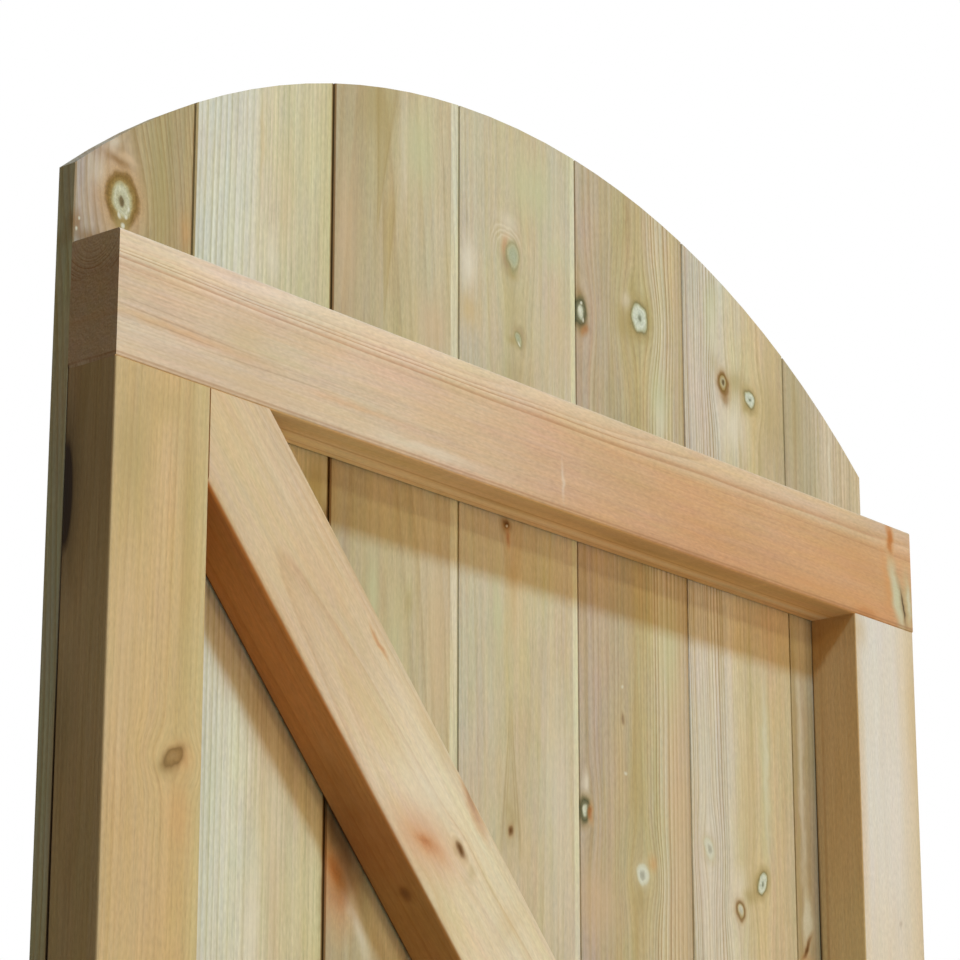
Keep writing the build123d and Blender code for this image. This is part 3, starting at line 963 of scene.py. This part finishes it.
rng = random.Random(17)
board_face_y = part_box("board_1")[0].y
for number in BOARD_NUMBERS:
    name = f"board_{number}"
    low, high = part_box(name)
    look = BOARD_LOOKS[name]
    next_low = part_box(f"board_{number + 1}")[0].x if number < BOARD_NUMBERS[-1] else high.x
    board_width = (next_low - low.x) / MM
    look["marks"] = look["marks"] + added_knots(rng, board_width, low.z / MM + BARE_FOOT, BARE_TOP)
    paint(name, (low.x, board_face_y, 0.0), 0.0, board_width, look)

for name in RAIL_NAMES:
    low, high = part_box(name)
    left_x = low.x if name != "middle_rail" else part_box("upper_brace")[0].x
    paint(name, (left_x, low.y, high.z), GRAIN_ALONG_X, (high.z - low.z) / MM, FRAME_LOOKS[name])

for name in ("latch_stile", "hanging_stile"):
    low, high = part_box(name)
    paint(name, (low.x, low.y, 0.0), 0.0, (high.x - low.x) / MM, FRAME_LOOKS[name])

rail_width = (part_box("top_rail")[1].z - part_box("top_rail")[0].z) / MM
for name in ("upper_brace", "lower_brace"):
    low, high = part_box(name)
    look = FRAME_LOOKS[name]
    look["faces"] = [(BRACE_SIDE_NORMAL, *BRACE_SIDE_SHADE)]
    middle = (low + high) / 2
    paint(name, (middle.x, low.y, middle.z), BRACE_TURN, rail_width, look)


# Nail heads on the boarded side, two in each board at every rail. The profile has the radius and
# height of each ring, as shares of the nail's own.
NAIL_RADIUS = 0.0028
NAIL_CROWN = 0.0005
NAIL_PROFILE = ((1.0, -0.4), (0.97, 0.35), (0.7, 0.8), (0.35, 1.0))
NAIL_SIDES = 14
NAIL_INSET = 0.024
TONGUE_LENGTH = 0.006
PATINA_SCALE = (900.0,) * 3


def add_object(name, data):
    """Object with this data, in the scene."""
    made = bpy.data.objects.new(name, data)
    bpy.context.scene.collection.objects.link(made)
    return made


def finished_mesh(name, mesh):
    """Mesh data made from a bmesh, which is freed."""
    data = bpy.data.meshes.new(name)
    mesh.to_mesh(data)
    mesh.free()
    return data


def nail_material():
    material, n = new_material("nail_steel")
    place = n.scaled(n.add("ShaderNodeTexCoord").outputs["Object"], PATINA_SCALE)
    patina = n.noise(place, 3.0)[0]
    n.surface({
        "Base Color": n.ramp(patina, [(0.35, colour(104, 104, 100)), (0.65, colour(150, 150, 146))])[0],
        "Metallic": 0.85,
        "Roughness": n.step(patina, 0.3, 0.7, 0.38, 0.62),
    })
    return material


def nail_places():
    """Centres of the nail heads, as (x, z)."""
    for number in BOARD_NUMBERS:
        low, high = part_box(f"board_{number}")
        for rail in RAIL_NAMES:
            rail_low, rail_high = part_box(rail)
            for x in (low.x + NAIL_INSET, high.x - NAIL_INSET - TONGUE_LENGTH):
                yield x, (rail_low.z + rail_high.z) / 2


def add_nails():
    mesh = bmesh.new()
    face_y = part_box("board_1")[1].y
    for x, z in nail_places():
        rings = []
        for radius, height in NAIL_PROFILE:
            ring = []
            for step in range(NAIL_SIDES):
                angle = 2 * math.pi * step / NAIL_SIDES
                offset = Vector((math.cos(angle), 0.0, math.sin(angle))) * radius * NAIL_RADIUS
                ring.append(mesh.verts.new(Vector((x, face_y + height * NAIL_CROWN, z)) + offset))
            rings.append(ring)
        for lower, upper in zip(rings, rings[1:]):
            for step in range(NAIL_SIDES):
                after = (step + 1) % NAIL_SIDES
                mesh.faces.new((lower[step], upper[step], upper[after], lower[after]))
        mesh.faces.new(rings[-1])
    mesh.normal_update()
    data = finished_mesh("nail_heads", mesh)
    nails = add_object("nail_heads", data)
    data.materials.append(nail_material())
    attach(nails, "root")


# Camera at the photograph's place: low, on the latch side, looking up at the arched head
CAMERA_PLACE = Vector((-1.934, -1.226, 0.141))
CAMERA_YAW = math.radians(50.56)
CAMERA_PITCH = math.radians(16.72)
CAMERA_LENS = 127.9
CAMERA_SENSOR = 36.0

# Soft square lamps that shine on the leaf's head from one distance: the way towards each from the
# head, its size, its power and its tone
LAMP_TARGET = Vector((-0.40, 0.0, 0.55))
LAMP_DISTANCE = 4.0
LAMPS = {
    "key_lamp": ((-0.33, -1.0, 1.2), 0.45, 103.0, (0.64, 0.97, 1.30)),
    "low_lamp": ((-0.30, -1.0, 0.52), 0.35, 22.0, (1.1, 1.0, 0.60)),
    "fill_lamp": ((0.15, -1.0, -0.04), 2.2, 43.0, (1.50, 1.0, 0.52)),
    "back_lamp": ((0.50, 1.0, 0.60), 2.0, 140.0, (1.05, 1.0, 0.93)),
}
WORLD_LIGHT = (0.107, 0.082, 0.047, 1.0)
FLOOR_HALF_SIZE = 2.6
FLOOR_GAP = 0.0005
PAPER_SCALE = (40.0,) * 3


def add_camera():
    data = bpy.data.cameras.new("camera")
    data.sensor_width = CAMERA_SENSOR
    data.lens = CAMERA_LENS
    camera = add_object("camera", data)
    level = math.cos(CAMERA_PITCH)
    ahead = Vector((math.sin(CAMERA_YAW) * level, math.cos(CAMERA_YAW) * level, math.sin(CAMERA_PITCH)))
    camera.location = CAMERA_PLACE
    camera.rotation_euler = ahead.to_track_quat("-Z", "Y").to_euler()
    bpy.context.scene.camera = camera


def add_lamp(name, towards, size, power, tone):
    data = bpy.data.lights.new(name, "AREA")
    data.size = size
    data.energy = power
    data.color = tone
    lamp = add_object(name, data)
    direction = Vector(towards).normalized()
    lamp.location = LAMP_TARGET + direction * LAMP_DISTANCE
    lamp.rotation_euler = direction.to_track_quat("Z", "Y").to_euler()


def add_floor():
    """Pale floor under the leaf."""
    mesh = bmesh.new()
    bmesh.ops.create_grid(mesh, x_segments=1, y_segments=1, size=FLOOR_HALF_SIZE)
    data = finished_mesh("floor", mesh)
    floor = add_object("floor", data)
    floor.location = (cad_low.x / 2, 0.0, cad_low.z - FLOOR_GAP)
    material, n = new_material("floor_paper")
    place = n.scaled(n.add("ShaderNodeTexCoord").outputs["Object"], PAPER_SCALE)
    stops = [(0.3, colour(228, 221, 208)), (0.7, colour(234, 227, 215))]
    n.surface({"Base Color": n.ramp(n.noise(place, 2.0)[0], stops)[0], "Roughness": 0.85})
    data.materials.append(material)
    floor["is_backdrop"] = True


def add_world():
    """World that is white to the camera and in reflections, and dim as a light."""
    world = bpy.data.worlds.new("studio")
    bpy.context.scene.world = world
    world.use_nodes = True
    world.node_tree.nodes.clear()
    n = Nodes(world.node_tree)
    rays = n.add("ShaderNodeLightPath").outputs
    seen = n.math("MAXIMUM", rays["Is Camera Ray"], rays["Is Glossy Ray"])
    seen = n.math("MAXIMUM", seen, rays["Is Transmission Ray"])
    background = {"Color": n.mix(seen, WORLD_LIGHT, WHITE), "Strength": 1.0}
    background = n.add("ShaderNodeBackground", background)
    n.add("ShaderNodeOutputWorld", {"Surface": background.outputs[0]})


add_nails()
add_camera()
for name, values in LAMPS.items():
    add_lamp(name, *values)
add_floor()
add_world()

scene = bpy.context.scene
scene.view_settings.view_transform = "Standard"

low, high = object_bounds()
